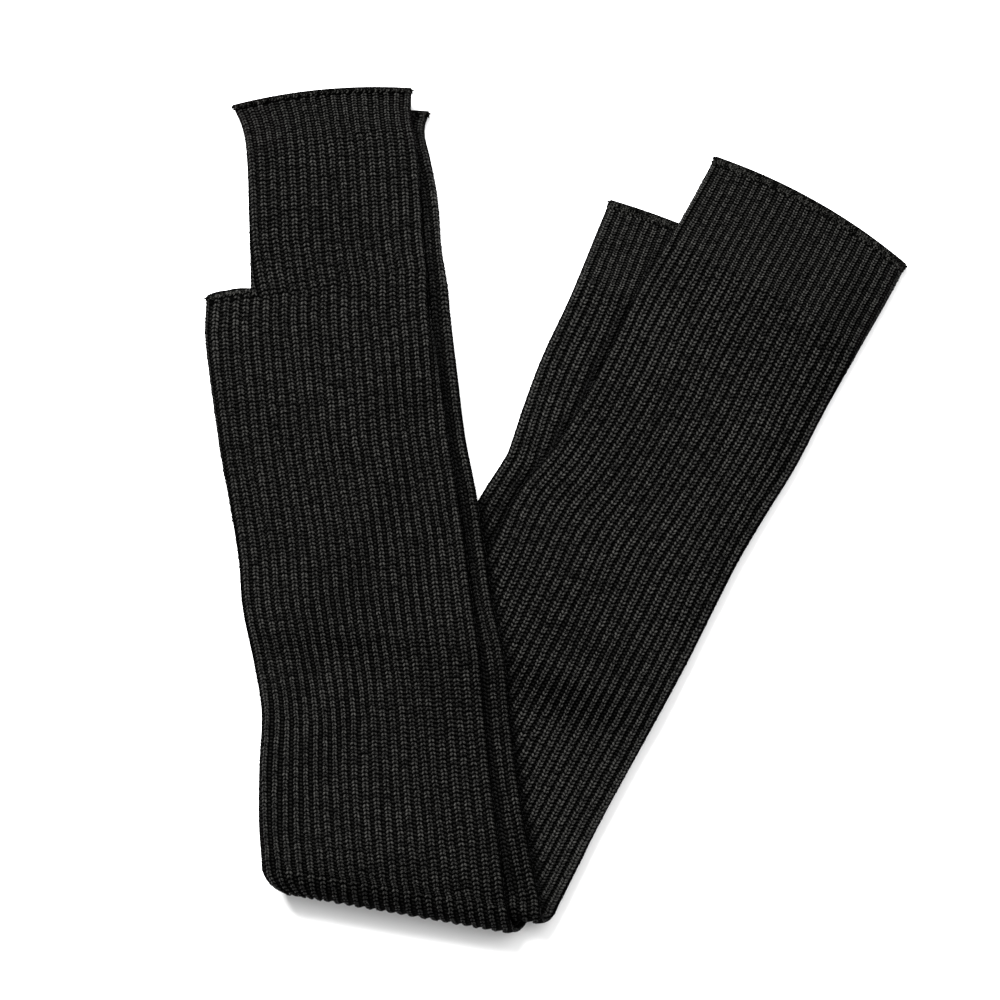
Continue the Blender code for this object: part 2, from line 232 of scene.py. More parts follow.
# The row at each distance along a leg, on a smooth curve through its rows and straight on past them
def readRows(rows, places):
    lengths = rowPlaces(rows)
    count = len(rows)
    before = np.maximum(np.arange(count) - 1, 0)
    after = np.minimum(np.arange(count) + 1, count - 1)
    slopes = (rows[after] - rows[before]) / (lengths[after] - lengths[before])[:, None]
    inside = np.clip(places, 0, lengths[-1])
    index = np.clip(np.searchsorted(lengths, inside, side="right") - 1, 0, count - 2)
    span = (lengths[index + 1] - lengths[index])[:, None]
    t = (inside[:, None] - lengths[index][:, None]) / span
    past = (places - inside)[:, None]
    return (
        rows[index] * (1 + 2 * t) * (1 - t) ** 2
        + slopes[index] * span * t * (1 - t) ** 2
        + rows[index + 1] * t * t * (3 - 2 * t)
        + slopes[index + 1] * span * t * t * (t - 1)
        + past * np.where(t > 0.5, slopes[index + 1], slopes[index])
    )


def foldAxes(fold):
    angle = math.radians(fold["slope"])
    along = np.array([math.cos(angle), -math.sin(angle)])
    outward = np.array([-math.sin(angle), -math.cos(angle)])
    return np.array(fold["at"]), along, outward


# The outline of rows that start at a fold, carried on to the fold's line and past the open end
def footprint(rows, fold, past):
    origin, along, outward = foldAxes(fold)
    left, right = list(rows[:, 0:2]), list(rows[:, 2:4])
    across = right[-1] - left[-1]
    pastEnd = np.array([-across[1], across[0]]) / np.hypot(*across) * past
    for side in (left, right):
        side.insert(0, origin + along * np.dot(side[0] - origin, along))
        side.append(side[-1] + pastEnd)
    return np.array(left + right[::-1])


# How far points lie outside an outline, negative inside it
def distanceOutside(outline, x, y):
    nearest = np.full(x.shape, np.inf)
    inside = np.zeros(x.shape, bool)
    for (ax, ay), (bx, by) in zip(outline, np.roll(outline, -1, axis=0)):
        edgeX, edgeY = bx - ax, by - ay
        share = ((x - ax) * edgeX + (y - ay) * edgeY) / max(edgeX**2 + edgeY**2, 1e-9)
        share = np.clip(share, 0, 1)
        nearest = np.minimum(nearest, np.hypot(ax + edgeX * share - x, ay + edgeY * share - y))
        if ay != by:
            inside ^= ((ay > y) != (by > y)) & (x < ax + (y - ay) * edgeX / edgeY)
    return np.where(inside, -nearest, nearest)


def forearmOutline(warmer, past):
    forearm, hand = warmer["forearm"], warmer["hand"]
    boundOff = knit["edgeDepth"] + knit["seam"]
    lip = readRows(forearm, np.array([rowPlaces(forearm)[-1] + boundOff]))
    beside = readRows(hand, np.array([boundOff]))
    return footprint(np.concatenate([forearm, lip, beside, hand[1:]]), warmer["fold"], past)


# The outlines of the four layers, from the lowest up
def layerOutlines(past):
    return (
        footprint(outerWarmer["arm"][::-1], outerWarmer["fold"], past),
        footprint(innerWarmer["arm"][::-1], innerWarmer["fold"], past),
        forearmOutline(innerWarmer, past),
        forearmOutline(outerWarmer, past),
    )


heldUp = layerOutlines(drop["endHold"])  # what holds up the layers above
covered = layerOutlines(0.0)  # what each layer hides


# The height of a layer's underside over all that lies beneath it
def drape(layer, x, y):
    height = np.zeros(x.shape)
    for below in range(layer):
        hold = drop["hold"] + drop["bridge"] * (layer - below - 1)
        outside = distanceOutside(heldUp[below], x, y)
        length = drop["armLength"] if layer == 1 else drop["length"]
        height += knit["layer"] * (1 - smoothStep((outside - hold) / length))
    for creaseLayer, creaseX, creaseY, degrees, halfLong, halfWide, lift in creases:
        if creaseLayer <= layer:
            turn = math.radians(degrees)
            along = (x - creaseX) * math.cos(turn) + (y - creaseY) * math.sin(turn)
            beside = (y - creaseY) * math.cos(turn) - (x - creaseX) * math.sin(turn)
            height += lift * np.exp(-((along / halfLong) ** 2) - (beside / halfWide) ** 2)
    return height


# A flattened tube's section at shares of its round: 0 on the left edge, over the outer side, 0.5 on
# the right edge and back. It gives the distance across, the height, and the way out of the cloth.
def ringPoint(width, thickness, shares):
    radius = thickness / 2
    quarter = math.pi * radius / 2
    flat = width - 2 * radius
    half = flat + 2 * quarter
    way = (shares % 1) * 2 * half
    side = np.where(way <= half, 1.0, -1.0)
    way = np.where(way <= half, way, 2 * half - way)
    start, end = way / radius, (way - quarter - flat) / radius
    atStart, atEnd = way < quarter, way > quarter + flat
    across = np.where(atStart, radius * (1 - np.cos(start)), radius + way - quarter)
    across = np.where(atEnd, radius + flat + radius * np.sin(end), across)
    height = np.where(atEnd, radius * np.cos(end), radius)
    height = np.where(atStart, radius * np.sin(start), height)
    outAcross = np.where(atStart, -np.cos(start), np.where(atEnd, np.sin(end), 0.0))
    outUp = np.where(atStart, np.sin(start), np.where(atEnd, np.cos(end), 1.0))
    return across, height * side, outAcross, outUp * side


# Round a tube's edge the ribs spread, so its furrows are shallow there. The inner face stays.
def eased(lift, outUp):
    shallow = np.where(lift > -knit["innerFace"], np.maximum(lift, -knit["edgeFurrow"]), lift)
    return lift + (shallow - lift) * smoothStep((1 - np.abs(outUp)) * 3)


# The section with its points lifted, and how far each then is from the left edge to the right
def liftedRing(width, thickness, shares, lift):
    across, height, outAcross, outUp = ringPoint(width, thickness, shares)
    lift = eased(lift, outUp)
    across = across + lift * outAcross
    return across, height + lift * outUp, across / width


# Points on a straight leg. side is -1 on the arm, where the outer side of the fold faces down.
def legPoints(rows, layer, side, places, shares, lift):
    row = readRows(rows, places)
    left, right = row[:, None, 0:2], row[:, None, 2:4]
    span = right - left
    width = np.linalg.norm(span, axis=2)
    thickness = np.maximum(row[:, 5:6], 0) + thick
    across, height, share = liftedRing(width, thickness, shares, lift)
    up = np.stack([-span[..., 1], span[..., 0]], axis=2) / width[..., None]
    bow = row[:, 4:5] * 4 * share * (1 - share)
    plan = left + span * share[..., None] + up * bow[..., None]
    level = drape(layer, plan[..., 0], plan[..., 1]) + thickness / 2 + side * height
    return np.concatenate([plan, level[..., None]], axis=2)


# Points on the roll of a fold, for turns from -90 degrees at the arm to 90 at the forearm
def rollPoints(warmer, turns, shares, lift):
    fold = warmer["fold"]
    origin, along, outward = foldAxes(fold)
    ends = (warmer["arm"][-1], warmer["forearm"][0])
    lefts = [np.dot(row[0:2] - origin, along) for row in ends]
    rights = [np.dot(row[2:4] - origin, along) for row in ends]
    start, part = knit["rollSpan"]
    progress = start + part * (turns[:, None] + 90) / 180
    left = lefts[0] + (lefts[1] - lefts[0]) * progress
    right = rights[0] + (rights[1] - rights[0]) * progress
    width = right - left
    across, height, share = liftedRing(width, np.full_like(width, thick), shares, lift)
    over = left + across
    plan = origin + along * over[..., None] - outward * fold["reach"] * knit["rollLevel"]
    low, high = [
        drape(layer, plan[..., 0], plan[..., 1]) + thick / 2
        for layer in (warmer["armLayer"], warmer["forearmLayer"])
    ]
    radius = (high - low) / 2
    turn = np.radians(turns)[:, None]
    inward = radius + thick / 2 - radius * np.cos(turn) - np.cos(turn) * height
    level = (low + high) / 2 + radius * np.sin(turn) + np.sin(turn) * height
    for corner, weight in ((fold["left"], 1 - share * 4), (-fold["right"], share * 4 - 3)):
        rest = np.maximum(abs(corner) - np.maximum(inward, 0), 0)
        drawn = abs(corner) - np.sqrt(corner**2 - rest**2)
        over = over + math.copysign(1, corner) * drawn * np.clip(weight, 0, 1)
    plan = origin + along * over[..., None] - outward * inward[..., None]
    return np.concatenate([plan, level[..., None]], axis=2)


# Where each stretch of a warmer's tube starts, measured along the cloth from the arm's open end
def layOut(warmer):
    rollRadius = (warmer["forearmLayer"] - warmer["armLayer"]) * knit["layer"] / 2
    straight = warmer["fold"]["reach"] - rollRadius - thick / 2
    warmer["armEnd"] = rowPlaces(warmer["arm"])[-1]
    warmer["rollStart"] = warmer["armEnd"] + straight
    warmer["rollEnd"] = warmer["rollStart"] + math.pi * (rollRadius + thick / 2)
    warmer["forearmStart"] = warmer["rollEnd"] + straight
    warmer["thumb"] = warmer["forearmStart"] + rowPlaces(warmer["forearm"])[-1]
    warmer["handLength"] = rowPlaces(warmer["hand"])[-1]
    courses = [knit["firstCourse"]]
    while courses[-1] < warmer["thumb"] + warmer["handLength"]:
        courses.append(courses[-1] + float(courseSize(courses[-1], warmer)))
    warmer["courses"] = np.array(courses)


# The height of a course at a station, in its welt or past it
def courseSize(station, warmer):
    alongArm = np.array(courseTable["arm"]).T
    alongHand = np.array(courseTable["hand"]).T
    place = np.asarray(station) - warmer["thumb"]
    size = np.interp(station - warmer["welt"], *alongArm)
    size = np.where(place > 0, np.interp(place, *alongHand), size)
    inWelt = (station < warmer["welt"]) | (place > warmer["handLength"] - courseTable["handWelt"])
    return np.where(inWelt, courseTable["welt"], size)


# The share of the round where a rib lies: the drift table says which rib is on each edge
def ribShares(table, count, stations, ribs, swayFrom=0.0):
    left = np.interp(stations, table[:, 0], table[:, 1])[:, None]
    right = np.interp(stations, table[:, 0], table[:, 2])[:, None]
    turn = 2 * math.pi / knit["ribs"]
    way = stations[:, None] + swayFrom
    sway = 0
    for reach, long, waves in knit["sway"]:
        sway = sway + reach * np.sin(way / long + waves * turn * ribs)
    rib = (ribs + sway - left) % count + left
    onOuter = 0.5 * (rib - left) / (right - left)
    onInner = 0.5 + 0.5 * (rib - right) / (left + count - right)
    return np.where(rib <= right, onOuter, onInner)


# Ribs and lifts as a full grid, one row for each station
def asGrid(rows, ribs, lift):
    ribs, lift = np.broadcast_arrays(ribs, lift)
    shape = (rows, ribs.shape[-1])
    return np.broadcast_to(ribs, shape), np.broadcast_to(lift, shape)


# Points of the arm, fold and forearm at stations and ribs, lifted along the way out of the cloth
def tubePoints(warmer, stations, ribs, lift):
    ribs, lift = asGrid(len(stations), ribs, lift)
    shares = ribShares(warmer["drift"], knit["ribs"], stations, ribs)
    points = np.empty(ribs.shape + (3,))

    def leg(part, side, chosen, places):
        layer = warmer[part + "Layer"]
        return legPoints(warmer[part], layer, side, places, shares[chosen], lift[chosen])

    def roll(chosen, turns):
        return rollPoints(warmer, turns, shares[chosen], lift[chosen])

    arm, forearm = partial(leg, "arm", -1), partial(leg, "forearm", 1)
    inArm = stations <= warmer["armEnd"]
    inForearm = stations >= warmer["forearmStart"]
    inRoll = (stations >= warmer["rollStart"]) & (stations <= warmer["rollEnd"])
    toRoll = (stations > warmer["armEnd"]) & (stations < warmer["rollStart"])
    fromRoll = (stations > warmer["rollEnd"]) & (stations < warmer["forearmStart"])
    points[inArm] = arm(inArm, stations[inArm])
    points[inForearm] = forearm(inForearm, stations[inForearm] - warmer["forearmStart"])
    rolled = (stations[inRoll] - warmer["rollStart"]) / (warmer["rollEnd"] - warmer["rollStart"])
    points[inRoll] = roll(inRoll, rolled * 180 - 90)
    gap = warmer["rollStart"] - warmer["armEnd"]
    if toRoll.any():
        share = ((stations[toRoll] - warmer["armEnd"]) / gap)[:, None, None]
        flat = np.full(toRoll.sum(), warmer["armEnd"])
        points[toRoll] = arm(toRoll, flat) * (1 - share) + roll(toRoll, flat * 0 - 90) * share
    if fromRoll.any():
        share = ((stations[fromRoll] - warmer["rollEnd"]) / gap)[:, None, None]
        flat = np.zeros(fromRoll.sum())
        points[fromRoll] = roll(fromRoll, flat + 90) * (1 - share) + forearm(fromRoll, flat) * share
    return points


# Points of the hand, where the ribs run from thumbRibs round to ribs - thumbRibs
def handPoints(warmer, places, ribs, lift):
    ribs, lift = asGrid(len(places), ribs, lift)
    shares = ribShares(warmer["handDrift"], handRibs, places, ribs, warmer["thumb"])
    return legPoints(warmer["hand"], warmer["forearmLayer"], 1, places, shares, lift)


# Points of the bound-off rows past the forearm's end, where the edge is arched on each face
def thumbPoints(warmer, stations, ribs, lift):
    points = tubePoints(warmer, stations, ribs % knit["ribs"], lift)
    arch = np.sin(math.pi * np.abs(ribs) / knit["thumbRibs"])
    past = np.clip((stations - warmer["thumb"] - knit["seam"]) / knit["edgeDepth"], 0, 1)
    points[..., 1] += knit["thumbArch"] * past[:, None] * arch
    points[..., 0] += 0.5 * knit["thumbArch"] * past[:, None] * arch  # and it leans over
    return points


def ridgeLift(ribs):
    crown = (0.5 + 0.5 * np.cos(2 * math.pi * ribs)) ** knit["crownPower"]
    return -knit["inset"] - knit["ridge"] * (1 - crown)


def makeMesh(name, points, faces, material, uvs=None):
    mesh = bpy.data.meshes.new(name)
    mesh.from_pydata((np.asarray(points) * mm).tolist(), [], faces)
    if uvs is not None:
        layer = mesh.uv_layers.new(name="knitMap")
        layer.data.foreach_set("uv", np.asarray(uvs, np.float32).ravel())
    mesh.materials.append(material)
    mesh.shade_smooth()
    mesh.update()
    piece = bpy.data.objects.new(name, mesh)
    bpy.context.scene.collection.objects.link(piece)
    return piece


# A socket takes a value, or a link from another node
def plug(tree, socket, value):
    if isinstance(value, bpy.types.NodeSocket):
        tree.links.new(value, socket)
    else:
        socket.default_value = value


# A node with its settings by name, and its inputs by name or in their order
def addNode(tree, kind, *inputs, **values):
    node = tree.nodes.new(kind)
    for key, value in (*values.items(), *enumerate(inputs)):
        if isinstance(key, str) and hasattr(node, key):
            setattr(node, key, value)
        else:
            plug(tree, node.inputs[key], value)
    return node


def maths(tree, operation, *values):
    return addNode(tree, "ShaderNodeMath", *values, operation=operation).outputs[0]


def scaled(tree, way, factor):
    node = addNode(tree, "ShaderNodeVectorMath", way, operation="SCALE", Scale=factor)
    return node.outputs[0]


def vector(tree, x, y, z):
    return addNode(tree, "ShaderNodeCombineXYZ", x, y, z).outputs[0]


def splitAxes(tree, way):
    return addNode(tree, "ShaderNodeSeparateXYZ", way).outputs


def noise(tree, scale, detail):
    place = addNode(tree, "ShaderNodeTexCoord").outputs["Object"]
    sizes = {"Scale": scale, "Detail": detail, "Roughness": 0.6}
    return addNode(tree, "ShaderNodeTexNoise", place, **sizes).outputs["Fac"]


def attribute(tree, name, field):
    return addNode(tree, "ShaderNodeAttribute", attribute_name=name).outputs[field]


# A soft change from one value to another over a span of the input
def soften(tree, value, span, ends=(0.0, 1.0)):
    limits = dict(zip(("From Min", "From Max", "To Min", "To Max"), (*span, *ends)))
    kind = {"interpolation_type": "SMOOTHSTEP"}
    return addNode(tree, "ShaderNodeMapRange", Value=value, **kind, **limits).outputs[0]


def bump(tree, height, strength, depth, **over):
    sizes = {"Strength": strength, "Distance": depth, "Height": height}
    return addNode(tree, "ShaderNodeBump", **sizes, **over).outputs["Normal"]


def darkToLight(tree, value, look):
    node = addNode(tree, "ShaderNodeValToRGB", value)
    colours = (look["dark"], look["light"])
    for stop, place, colour in zip(node.color_ramp.elements, look["toneSpan"], colours):
        stop.position = place
        stop.color = (*colour, 1)
    return node.outputs["Color"]


sheenTint = (0.75, 0.74, 0.72, 1)


def startMaterial(name, look):
    material = bpy.data.materials.new(name)
    material.use_nodes = True
    tree = material.node_tree
    shader = tree.nodes["Principled BSDF"]
    for label, value in (
        ("Roughness", look["roughness"]),
        ("Specular IOR Level", look["specular"]),
        ("Sheen Weight", look["sheen"]),
        ("Sheen Roughness", look["sheenRoughness"]),
        ("Sheen Tint", sheenTint),
    ):
        shader.inputs[label].default_value = value
    return material, tree, shader


# The yarn: charcoal with a little heather, the pile of its fibres, and the twist of its ply, with
# painted shade on the underside and at both ends of each leg
yarnLook = {
    "dark": (0.0008, 0.00078, 0.0007),
    "light": (0.0362, 0.0357, 0.0331),
    "toneSpan": (0.5, 1.0),
    "heather": 3.0,
    "heatherScale": 2400.0,
    "roughness": 0.5,
    "specular": 0.055,
    "sheen": 0.013,
    "sheenRoughness": 0.4,
    "plyScale": 1.4,
    "twist": 0.5,
    "twistDepth": 0.00012,
    "fibreScale": 2600.0,
    "pile": 0.5,
    "pileDepth": 0.00008,
    "paintedTuckShade": 0.25,  # painted shade where the yarn tucks under its neighbours, as a share of its colour
    "paintedTuckSpan": (0.1, -0.97),
    "paintedEndShade": 0.1,  # and the painted shade at the ends of a leg
    "paintedEndSpan": (0.85, 0.0),
}


def yarnMaterial(name, look):
    material, tree, shader = startMaterial(name, look)
    heather = noise(tree, look["heatherScale"], 2.0)
    tone = attribute(tree, "tone", "Fac")
    colour = darkToLight(tree, maths(tree, "MULTIPLY_ADD", heather, look["heather"], tone), look)
    yarn = attribute(tree, "yarn", "Vector")
    across = splitAxes(tree, yarn)
    # painted shade: each leg darker on its underside and towards both ends
    tuckShade = soften(tree, across["Y"], look["paintedTuckSpan"], (look["paintedTuckShade"], 1.0))
    toEnd = maths(tree, "ABSOLUTE", across["Z"])
    ends = soften(tree, toEnd, look["paintedEndSpan"], (look["paintedEndShade"], 1.0))
    shaded = scaled(tree, colour, maths(tree, "MULTIPLY", tuckShade, ends))
    plug(tree, shader.inputs["Base Color"], shaded)
    sizes = {"Scale": look["plyScale"], "Distortion": 1.5, "Detail": 1.0}
    ply = addNode(tree, "ShaderNodeTexWave", yarn, bands_direction="DIAGONAL", **sizes)
    twist = bump(tree, ply.outputs["Fac"], look["twist"], look["twistDepth"])
    fibres = noise(tree, look["fibreScale"], 3.0)
    pile = bump(tree, fibres, look["pile"], look["pileDepth"], Normal=twist)
    plug(tree, shader.inputs["Normal"], pile)
    return material


# The cloth between the stitches, with the purl side of each course in its furrows. Its colours are
# a much darker copy of the yarn's: painted shade between the stitches.
shellLook = {
    "dark": (0.00013, 0.00013, 0.00013),
    "light": (0.0087, 0.0085, 0.0079),
    "toneSpan": (0.08, 0.34),
    "fleckScale": 1100.0,
    "roughness": 0.9,
    "specular": 0.007,
    "sheen": 0.0,
    "sheenRoughness": 0.5,
    "furrowSpan": (0.28, 0.46),  # from a rib's middle out to its furrow: painted shade beside the stitches, lifting where the purl bumps show
    "purlBump": 0.8,
    "purlDepth": 0.0009,
    "fibreScale": 2200.0,
    "pile": 0.5,
    "pileDepth": 0.0001,
    "weltGain": 2.2,  # how much lighter the furrows are where the knit is tight
    "ribStagger": 0.37,  # purl bumps of neighbouring furrows don't line up
}


# Its map counts ribs across and courses along
def shellMaterial(name, look):
    material, tree, shader = startMaterial(name, look)
    knitMap = splitAxes(tree, addNode(tree, "ShaderNodeUVMap", uv_map="knitMap").outputs["UV"])
    fromRidge = maths(tree, "PINGPONG", knitMap["X"], 0.5)
    furrow = soften(tree, fromRidge, look["furrowSpan"])
    rib = maths(tree, "FLOOR", knitMap["X"])
    course = maths(tree, "MULTIPLY_ADD", rib, look["ribStagger"], knitMap["Y"])
    purl = maths(tree, "MULTIPLY", maths(tree, "PINGPONG", course, 0.5), furrow)
    purls = bump(tree, purl, look["purlBump"], look["purlDepth"])
    fibres = noise(tree, look["fibreScale"], 3.0)
    pile = bump(tree, fibres, look["pile"], look["pileDepth"], Normal=purls)
    plug(tree, shader.inputs["Normal"], pile)
    # painted shade: dark beside the stitches and between the purl bumps, lighter only on the purl
    # bumps in the furrows
    lit = maths(tree, "MULTIPLY", purl, noise(tree, look["fleckScale"], 2.0))
    tight = attribute(tree, "tightKnit", "Fac")
    gain = maths(tree, "MULTIPLY_ADD", tight, look["weltGain"] - 1, 1.0)
    plug(tree, shader.inputs["Base Color"], scaled(tree, darkToLight(tree, lit, look), gain))
    return material


# The bound-off yarn is matt, or its rim would catch the bright floor
mattLook = {**yarnLook, "roughness": 1.0, "specular": 0.0, "sheen": 0.0}
boundLook = {**mattLook, "light": (0.031, 0.0306, 0.0284)}
# The lip's colours are a much darker copy of the yarn's: painted shade between the knots and round
# the rim
shadedLipLook = {**mattLook, "dark": (0.0004, 0.0004, 0.0004), "light": (0.004, 0.004, 0.0038)}
charcoalYarn = yarnMaterial("charcoalYarn", yarnLook)
boundYarn = yarnMaterial("boundYarn", boundLook)
shadedLipYarn = yarnMaterial("shadedLipYarn", shadedLipLook)
shadedFurrowCloth = shellMaterial("shadedFurrowCloth", shellLook)
print("materials made")


def evenSteps(start, end, step):
    return np.linspace(start, end, max(int(round((end - start) / step)), 1) + 1)


def facesBetween(lower, upper):
    turned = np.roll(lower, -1), np.roll(upper, -1)
    return np.stack([lower, turned[0], turned[1], upper], axis=1)


# Triangles between two closed loops of points that lie one inside the other
def closeBetween(outer, inner, points):
    def shares(loop):
        ring = points[loop]
        lengths = np.linalg.norm(np.roll(ring, -1, axis=0) - ring, axis=1)
        return np.concatenate([[0], np.cumsum(lengths) / lengths.sum()])

    outerShares, innerShares = shares(outer), shares(inner)
    faces, i, j = [], 0, 0
    while i < len(outer) or j < len(inner):
        here, within = outer[i % len(outer)], inner[j % len(inner)]
        if j == len(inner) or (i < len(outer) and outerShares[i + 1] <= innerShares[j + 1]):
            faces.append((here, outer[(i + 1) % len(outer)], within))
            i += 1
        else:
            faces.append((here, inner[(j + 1) % len(inner)], within))
            j += 1
    return faces


# One surface of a warmer, from the arm's opening to the hand's, with the thumb left open
def surfaceGrid(warmer, stations, places, perRib, liftOf, offset):
    count, first = knit["ribs"] * perRib, knit["thumbRibs"] * perRib
    ribs = np.arange(count) / perRib
    tube = tubePoints(warmer, stations, ribs, liftOf(ribs))
    handColumns = np.arange(first, count - first)
    hand = handPoints(warmer, places, ribs[handColumns], liftOf(ribs[handColumns]))
    points = np.concatenate([tube.reshape(-1, 3), hand.reshape(-1, 3)])
    tubeIndex = offset + np.arange(len(stations) * count).reshape(len(stations), count)
    handIndex = offset + tubeIndex.size + np.arange(hand.size // 3).reshape(len(places), -1)
    faces, uvs = [], []
    uAll = np.arange(count + 1) / perRib
    courseNumbers = np.arange(len(warmer["courses"]))
    courses = np.interp(stations, warmer["courses"], courseNumbers)

    def mapped(u0, u1, v0, v1):
        v0, v1 = np.broadcast_to(v0, u0.shape), np.broadcast_to(v1, u0.shape)
        corners = [(u0, v0), (u1, v0), (u1, v1), (u0, v1)]
        return np.stack([np.stack(corner, axis=1) for corner in corners], axis=1)

    for i in range(len(stations) - 1):
        faces.append(facesBetween(tubeIndex[i], tubeIndex[i + 1]))
        uvs.append(mapped(uAll[:-1], uAll[1:], courses[i], courses[i + 1]))
    handU = ribs[handColumns]
    last = tubeIndex[-1]
    joining = np.stack(
        [last[handColumns], last[handColumns + 1], np.roll(handIndex[0], -1), handIndex[0]], axis=1
    )
    lastCourse = courses[-1]
    courses = np.interp(stations[-1] + places, warmer["courses"], courseNumbers)
    faces.append(joining)
    uvs.append(mapped(handU, handU + 1 / perRib, lastCourse, courses[0]))
    for i in range(len(places) - 1):
        faces.append(facesBetween(handIndex[i], handIndex[i + 1]))
        uvs.append(mapped(handU, handU + 1 / perRib, courses[i], courses[i + 1]))
    thumbLoop = [*last[count - first :], *last[: first + 1], handIndex[0][0]]
    loops = (tubeIndex[0], np.array(thumbLoop), handIndex[-1])
    return points, np.concatenate(faces), np.concatenate(uvs), loops


def innerFace(ribs):
    return ribs * 0 - knit["wall"]


def knitShell(warmer):
    start, step = shellGrid["fromOpening"], shellGrid["innerStep"]
    stations = evenSteps(start, warmer["thumb"], shellGrid["rowStep"])
    lastPlace = warmer["handLength"] - start
    places = evenSteps(shellGrid["fromThumb"], lastPlace, shellGrid["rowStep"])
    outer = surfaceGrid(warmer, stations, places, shellGrid["columns"], ridgeLift, 0)
    stationsIn = np.append(stations[:-1:step], stations[-1])
    placesIn = np.append(places[:-1:step], places[-1])
    inner = surfaceGrid(warmer, stationsIn, placesIn, 1, innerFace, len(outer[0]))
    points = np.concatenate([outer[0], inner[0]])
    faces = outer[1].tolist() + inner[1][:, ::-1].tolist()
    uvs = [*outer[2].reshape(-1, 2), *inner[2][:, ::-1].reshape(-1, 2)]
    for kind, (outerLoop, innerLoop) in enumerate(zip(outer[3], inner[3])):
        closing = closeBetween(outerLoop, innerLoop, points)
        if kind == 0:
            closing = [face[::-1] for face in closing]
        faces += closing
        uvs += [(0.5, 0)] * (3 * len(closing))
    piece = makeMesh(warmer["name"] + "Warmer", points, faces, shadedFurrowCloth, uvs)
    onTube = np.repeat(stations, knit["ribs"] * shellGrid["columns"])
    onHand = np.repeat(stations[-1] + places, handRibs * shellGrid["columns"])
    courses = courseSize(np.concatenate([onTube, onHand]), warmer)
    tight = np.zeros(len(points), np.float32)
    tight[: len(courses)] = courses < knit["course"] * shellGrid["tightCourse"]
    piece.data.attributes.new("tightKnit", "FLOAT", "POINT").data.foreach_set("value", tight)
    return piece


shells = {}
for warmer in warmers:
    layOut(warmer)
    shell = knitShell(warmer)
    shells[warmer["name"]] = shell

# Knit stitches: each is a V of two plump legs of yarn, its point towards the hand
stitchLook = {
    "Leg Length": 2.4,
    "Leg Width": 1.1,
    "Leg Height": 0.82,
    "Leg Offset": 0.66,
    "Leg Sink": 0.1,
    "Spread": 41.0,
    "Tilt": 14.0,
    "Jitter": 0.18,
    "Stray": 0.14,
    "Seed": 4,
}
chainLook = {
    "Leg Length": 2.0,
    "Leg Width": 0.95,
    "Leg Height": 0.8,
    "Leg Offset": 0.36,
    "Leg Sink": 0.1,
    "Spread": 38.0,
    "Tilt": 8.0,
    "Jitter": 0.35,
    "Stray": 0.18,
    "Seed": 9,
}


def startTree(name, inputs):
    tree = bpy.data.node_groups.new(name, "GeometryNodeTree")
    tree.interface.new_socket("Geometry", in_out="INPUT", socket_type="NodeSocketGeometry")
    for label, kind in inputs:
        tree.interface.new_socket(label, in_out="INPUT", socket_type="NodeSocket" + kind)
    tree.interface.new_socket("Geometry", in_out="OUTPUT", socket_type="NodeSocketGeometry")
    return tree, tree.nodes.new("NodeGroupInput"), tree.nodes.new("NodeGroupOutput")


def named(tree, label):
    kind = {"data_type": "FLOAT_VECTOR", "Name": label}
    return addNode(tree, "GeometryNodeInputNamedAttribute", **kind).outputs[0]


def uneven(tree, reach, seed):
    limits = (maths(tree, "MULTIPLY", reach, -1.0), reach)
    low, high = [vector(tree, limit, limit, limit) for limit in limits]
    kind = {"data_type": "FLOAT_VECTOR", "Seed": seed}
    return addNode(tree, "FunctionNodeRandomValue", low, high, **kind).outputs[0]


# Puts a shape on every point: its Z the way out of the cloth, its Y along the cloth
def scatter(tree, given, shape, result):
    ways = named(tree, "outWay"), named(tree, "alongWay")
    axes = {"primary_axis": "Z", "secondary_axis": "Y"}
    facing = addNode(tree, "FunctionNodeAxesToRotation", *ways, **axes).outputs[0]
    reach = maths(tree, "MULTIPLY", given["Stray"], mm)
    offset = uneven(tree, reach, maths(tree, "ADD", given["Seed"], 1.0))
    stray = addNode(tree, "GeometryNodeSetPosition", given["Geometry"], Offset=offset)
    place = addNode(
        tree,
        "GeometryNodeInstanceOnPoints",
        Points=stray.outputs[0],
        Instance=shape,
        Rotation=facing,
        Scale=named(tree, "pieceSize"),
    )
    jitter = uneven(tree, given["Jitter"], given["Seed"])
    turn = addNode(tree, "GeometryNodeRotateInstances", place.outputs[0], Rotation=jitter)
    realize = addNode(tree, "GeometryNodeRealizeInstances", turn.outputs[0])
    yarn = given["Material"]
    dress = addNode(tree, "GeometryNodeSetMaterial", realize.outputs[0], Material=yarn)
    plug(tree, result.inputs[0], dress.outputs[0])


bluntEnds = {"power": 6.0, "cut": 0.24}


